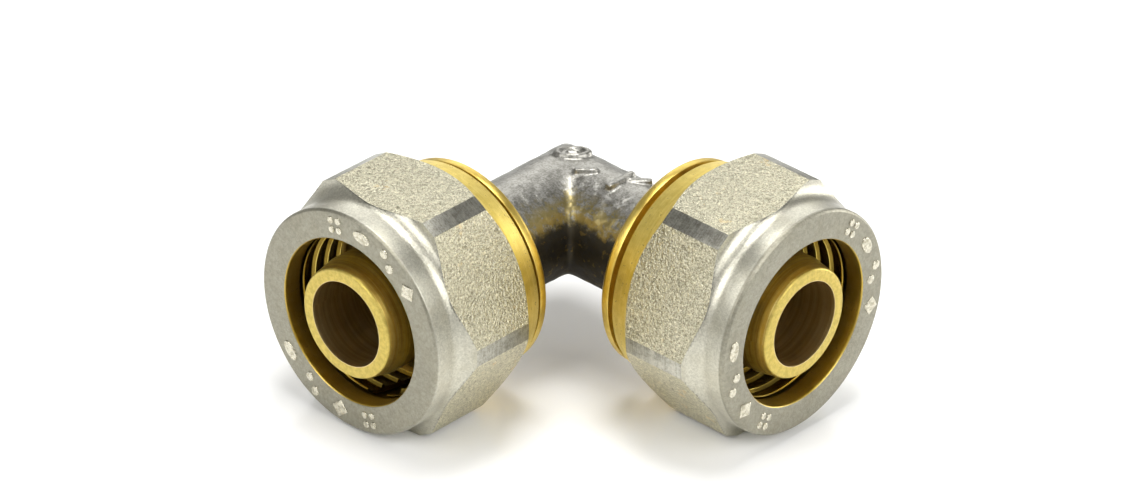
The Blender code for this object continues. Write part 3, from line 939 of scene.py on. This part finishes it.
def machined_brass():
    """Brass of the body's legs, on both legs at once: each point reads its nearer leg."""
    paint = Paint("machined brass")
    x, y, z = paint.axes()
    on_right = (x + y).above(0.0, 0.01)
    along = on_right * x + (1 - on_right) * (y * -1)
    across = on_right * y + (1 - on_right) * x
    radius = (across * across + z * z) ** 0.5
    angle = z.maths("ARCTAN2", across)
    rings = paint.noise(1.0, 3.0, 0.7, paint.combine(along * 10, radius * 10, angle * 0.5))
    coarse = paint.noise(1.0, 2.0, 0.6, paint.combine(along * 2.6, radius * 2.6, angle * 0.35))
    broad = paint.noise(0.6, 3.0, 0.6)
    mottle = paint.noise(2.0, 4.0, 0.65)
    colour = paint.mix(rings.above(0.5, 0.22), (0.92, 0.72, 0.19), (0.99, 0.86, 0.36))
    colour = paint.mix(mottle.below(0.46, 0.08) * 0.2, colour, (0.62, 0.45, 0.09))
    end_face = along.above(INSERT_END / MM - 0.25, 0.04)
    end_tone = paint.mix(mottle.above(0.5, 0.14), (0.45, 0.34, 0.065), (0.62, 0.48, 0.12))
    colour = paint.mix(end_face * 0.8, colour, end_tone)
    colour = paint.mix(coarse.below(0.47, 0.08) * (1 - end_face) * 0.45, colour, (0.50, 0.34, 0.06))
    # Painted shade: the leg behind the insert's nose, deep in the nut, is darker
    behind = along.below((INSERT_END - NOSE_LENGTH) / MM, 0.2)
    colour = paint.mix(behind * 0.45, colour, (0.50, 0.32, 0.07))
    flange = along.below(FLANGE_FRONT / MM + 0.05, 0.1)
    flange_tone = paint.mix(broad.above(0.5, 0.15), (0.58, 0.40, 0.06), (0.80, 0.60, 0.14))
    colour = paint.mix(flange * 0.6, colour, flange_tone)
    bore = radius.below(WATER_BORE_RADIUS / MM + 0.06, 0.03)
    bore_tone = paint.mix(coarse.above(0.5, 0.2), (0.66, 0.49, 0.22), (0.78, 0.62, 0.33))
    colour = paint.mix(bore * 0.9, colour, bore_tone)
    return paint.finished(colour, 0.30 + mottle * 0.1 + end_face * 0.1,
                          rings * 0.35 + coarse * 0.5 + mottle * 0.15, 0.03)


def forging():
    """Rough plated forging, with brass showing on its inner side and black scale below."""
    paint = Paint("plated forging")
    x, y, z = paint.axes()
    lumps = paint.noise(1.3, 4.0, 0.6)
    grain = paint.noise(5.0, 3.0, 0.65)
    pits = paint.noise(2.4, 3.0, 0.6)
    brass_height, soot_height = 4.3, 2.6
    tone = (grain * 0.6 + lumps * 0.4).above(0.5, 0.14)
    colour = paint.mix(tone, (0.22, 0.212, 0.185), (0.42, 0.41, 0.375))
    inner = (x - y).above(5.0, 1.2)
    height = z + (lumps - 0.5) * 2.0
    blotches = paint.noise(0.9, 4.0, 0.7)
    patches = (pits * 0.3 + blotches * 0.7).above(0.47, 0.03)
    brass = height.below(brass_height, 0.6) * inner * patches
    colour = paint.mix(brass * 0.85, colour, (0.38, 0.295, 0.08))
    shade = height.below(brass_height, 0.8) * inner
    colour = paint.mix(shade * 0.4, colour, (0.13, 0.12, 0.09))
    scale = height.below(soot_height, 0.5) * inner
    bare = paint.noise(1.1, 3.0, 0.6).above(0.62, 0.04)
    soot = paint.mix(bare * 0.6, (0.045, 0.042, 0.038), (0.24, 0.17, 0.05))
    colour = paint.mix(scale * 0.92, colour, soot)
    return paint.finished(colour, 0.28 + grain * 0.2 + scale * 0.2,
                          lumps * 0.45 + grain * 0.2 + pits * 0.35, 0.06)


def seal_rubber():
    """Black nitrile, slightly greased, with moulding dust."""
    paint = Paint("seal rubber", 0.0, IOR=1.5)
    grain = paint.noise(9.0, 3.0, 0.6)
    dust = paint.noise(1.8, 3.0, 0.6).above(0.6, 0.08)
    colour = paint.mix(dust * 0.4, (0.014, 0.014, 0.015), (0.05, 0.05, 0.05))
    return paint.finished(colour, 0.36 + grain * 0.25, grain, 0.01)


def washer_plastic():
    """White polyethylene with a soft moulded haze."""
    paint = Paint("washer plastic", 0.0, IOR=1.51)
    grain = paint.noise(6.0, 3.0, 0.6)
    broad = paint.noise(0.7, 3.0, 0.5)
    colour = paint.mix(broad, (0.76, 0.76, 0.73), (0.85, 0.85, 0.83))
    return paint.finished(colour, 0.38 + grain * 0.2, grain, 0.008)


# Stage

def make_camera():
    """The camera on its orbit, level but for a slight roll."""
    back = Vector((
        math.sin(CAMERA_AZIMUTH) * math.cos(CAMERA_ELEVATION),
        -math.cos(CAMERA_AZIMUTH) * math.cos(CAMERA_ELEVATION),
        math.sin(CAMERA_ELEVATION),
    ))
    level = Vector((math.cos(CAMERA_AZIMUTH), math.sin(CAMERA_AZIMUTH), 0))
    upright = back.cross(level)
    right = level * math.cos(CAMERA_ROLL) + upright * math.sin(CAMERA_ROLL)
    up = upright * math.cos(CAMERA_ROLL) - level * math.sin(CAMERA_ROLL)
    lens = bpy.data.cameras.new("camera")
    lens.sensor_width = 36
    lens.lens = CAMERA_LENS
    lens.clip_start = 0.01
    lens.clip_end = 10
    camera = bpy.data.objects.new("camera", lens)
    bpy.context.scene.collection.objects.link(camera)
    turn = Matrix((right, up, back)).transposed().to_4x4()
    spot = CROSSING + right * CAMERA_RIGHT + up * CAMERA_UP + back * CAMERA_DISTANCE
    camera.matrix_world = Matrix.Translation(spot) @ turn
    bpy.context.scene.camera = camera


def make_floor():
    """A glossy white sheet, tipped slightly so that it carries both nuts."""
    right_low = CROSSING + Vector((0, RIGHT_CONTACT, -CROSSING.z))
    left_low = CROSSING + Vector((0, LEFT_CONTACT, -ACROSS_FLATS / 2))
    slope = math.atan2(left_low.z - right_low.z, left_low.y - right_low.y)
    bpy.ops.object.select_all(action="DESELECT")
    bpy.ops.mesh.primitive_plane_add(size=6, location=(0, right_low.y, 0), rotation=(slope, 0, 0))
    floor = bpy.context.object
    floor.name = "floor"
    floor.location.z = -TOUCH
    material = bpy.data.materials.new("white sheet")
    material.use_nodes = True
    shader = material.node_tree.nodes["Principled BSDF"]
    shader.inputs["Base Color"].default_value = (0.95, 0.95, 0.945, 1)
    shader.inputs["Roughness"].default_value = 0.12
    shader.inputs["IOR"].default_value = 1.33
    floor.data.materials.append(material)


def make_light(name, direction, distance, size, power):
    """A square soft light that looks at the fitting from a direction."""
    lamp = bpy.data.lights.new(name, "AREA")
    lamp.size = size
    lamp.energy = power
    light = bpy.data.objects.new(name, lamp)
    bpy.context.scene.collection.objects.link(light)
    facing = Vector(direction).normalized()
    turn = facing.to_track_quat("Z", "Y").to_matrix().to_4x4()
    light.matrix_world = Matrix.Translation(CROSSING + facing * distance) @ turn


def make_lights():
    """Soft boxes in front, behind and overhead, in a room with grey walls and a dark ceiling."""
    for name, light in LIGHTS.items():
        make_light(name, *light)
    world = bpy.data.worlds.new("room")
    world.use_nodes = True
    room = Nodes(world.node_tree)
    direction = room.node("ShaderNodeTexCoord", {}, {}, "Generated")
    height = room.node("ShaderNodeSeparateXYZ", {}, {0: direction}, 2)
    colour = room.mix(height.above(0.72, 0.05), (0.37, 0.37, 0.36), (0.07, 0.07, 0.07))
    background = world.node_tree.nodes["Background"]
    room.join(background.inputs["Color"], colour)
    bpy.context.scene.world = world
    bpy.context.scene.view_settings.view_transform = "Standard"


def make_fitting():
    """Every piece of the fitting, in place of its plain CAD node."""
    paints = {
        "forging": forging(),
        "machined brass": machined_brass(),
        "rubber": seal_rubber(),
        "plastic": washer_plastic(),
    }
    make_elbow(paints)
    blank = make_nut_blank()
    for side in LEG_TURN:
        paints.update({
            "blasted": blasted_nickel(side),
            "satin": satin_nickel(side),
            "turned brass": turned_brass(side),
            "worn": worn_nickel(side),
            "burnished": burnished_nickel(side),
            "ring brass": ring_brass(side),
        })
        make_nut(side, blank, paints)
        make_ring(side, paints)
        for place in GROOVES:
            make_seal(side, place, paints)
        make_washer(side, paints)
    bpy.data.objects.remove(blank)


make_camera()
make_floor()
make_lights()
make_fitting()
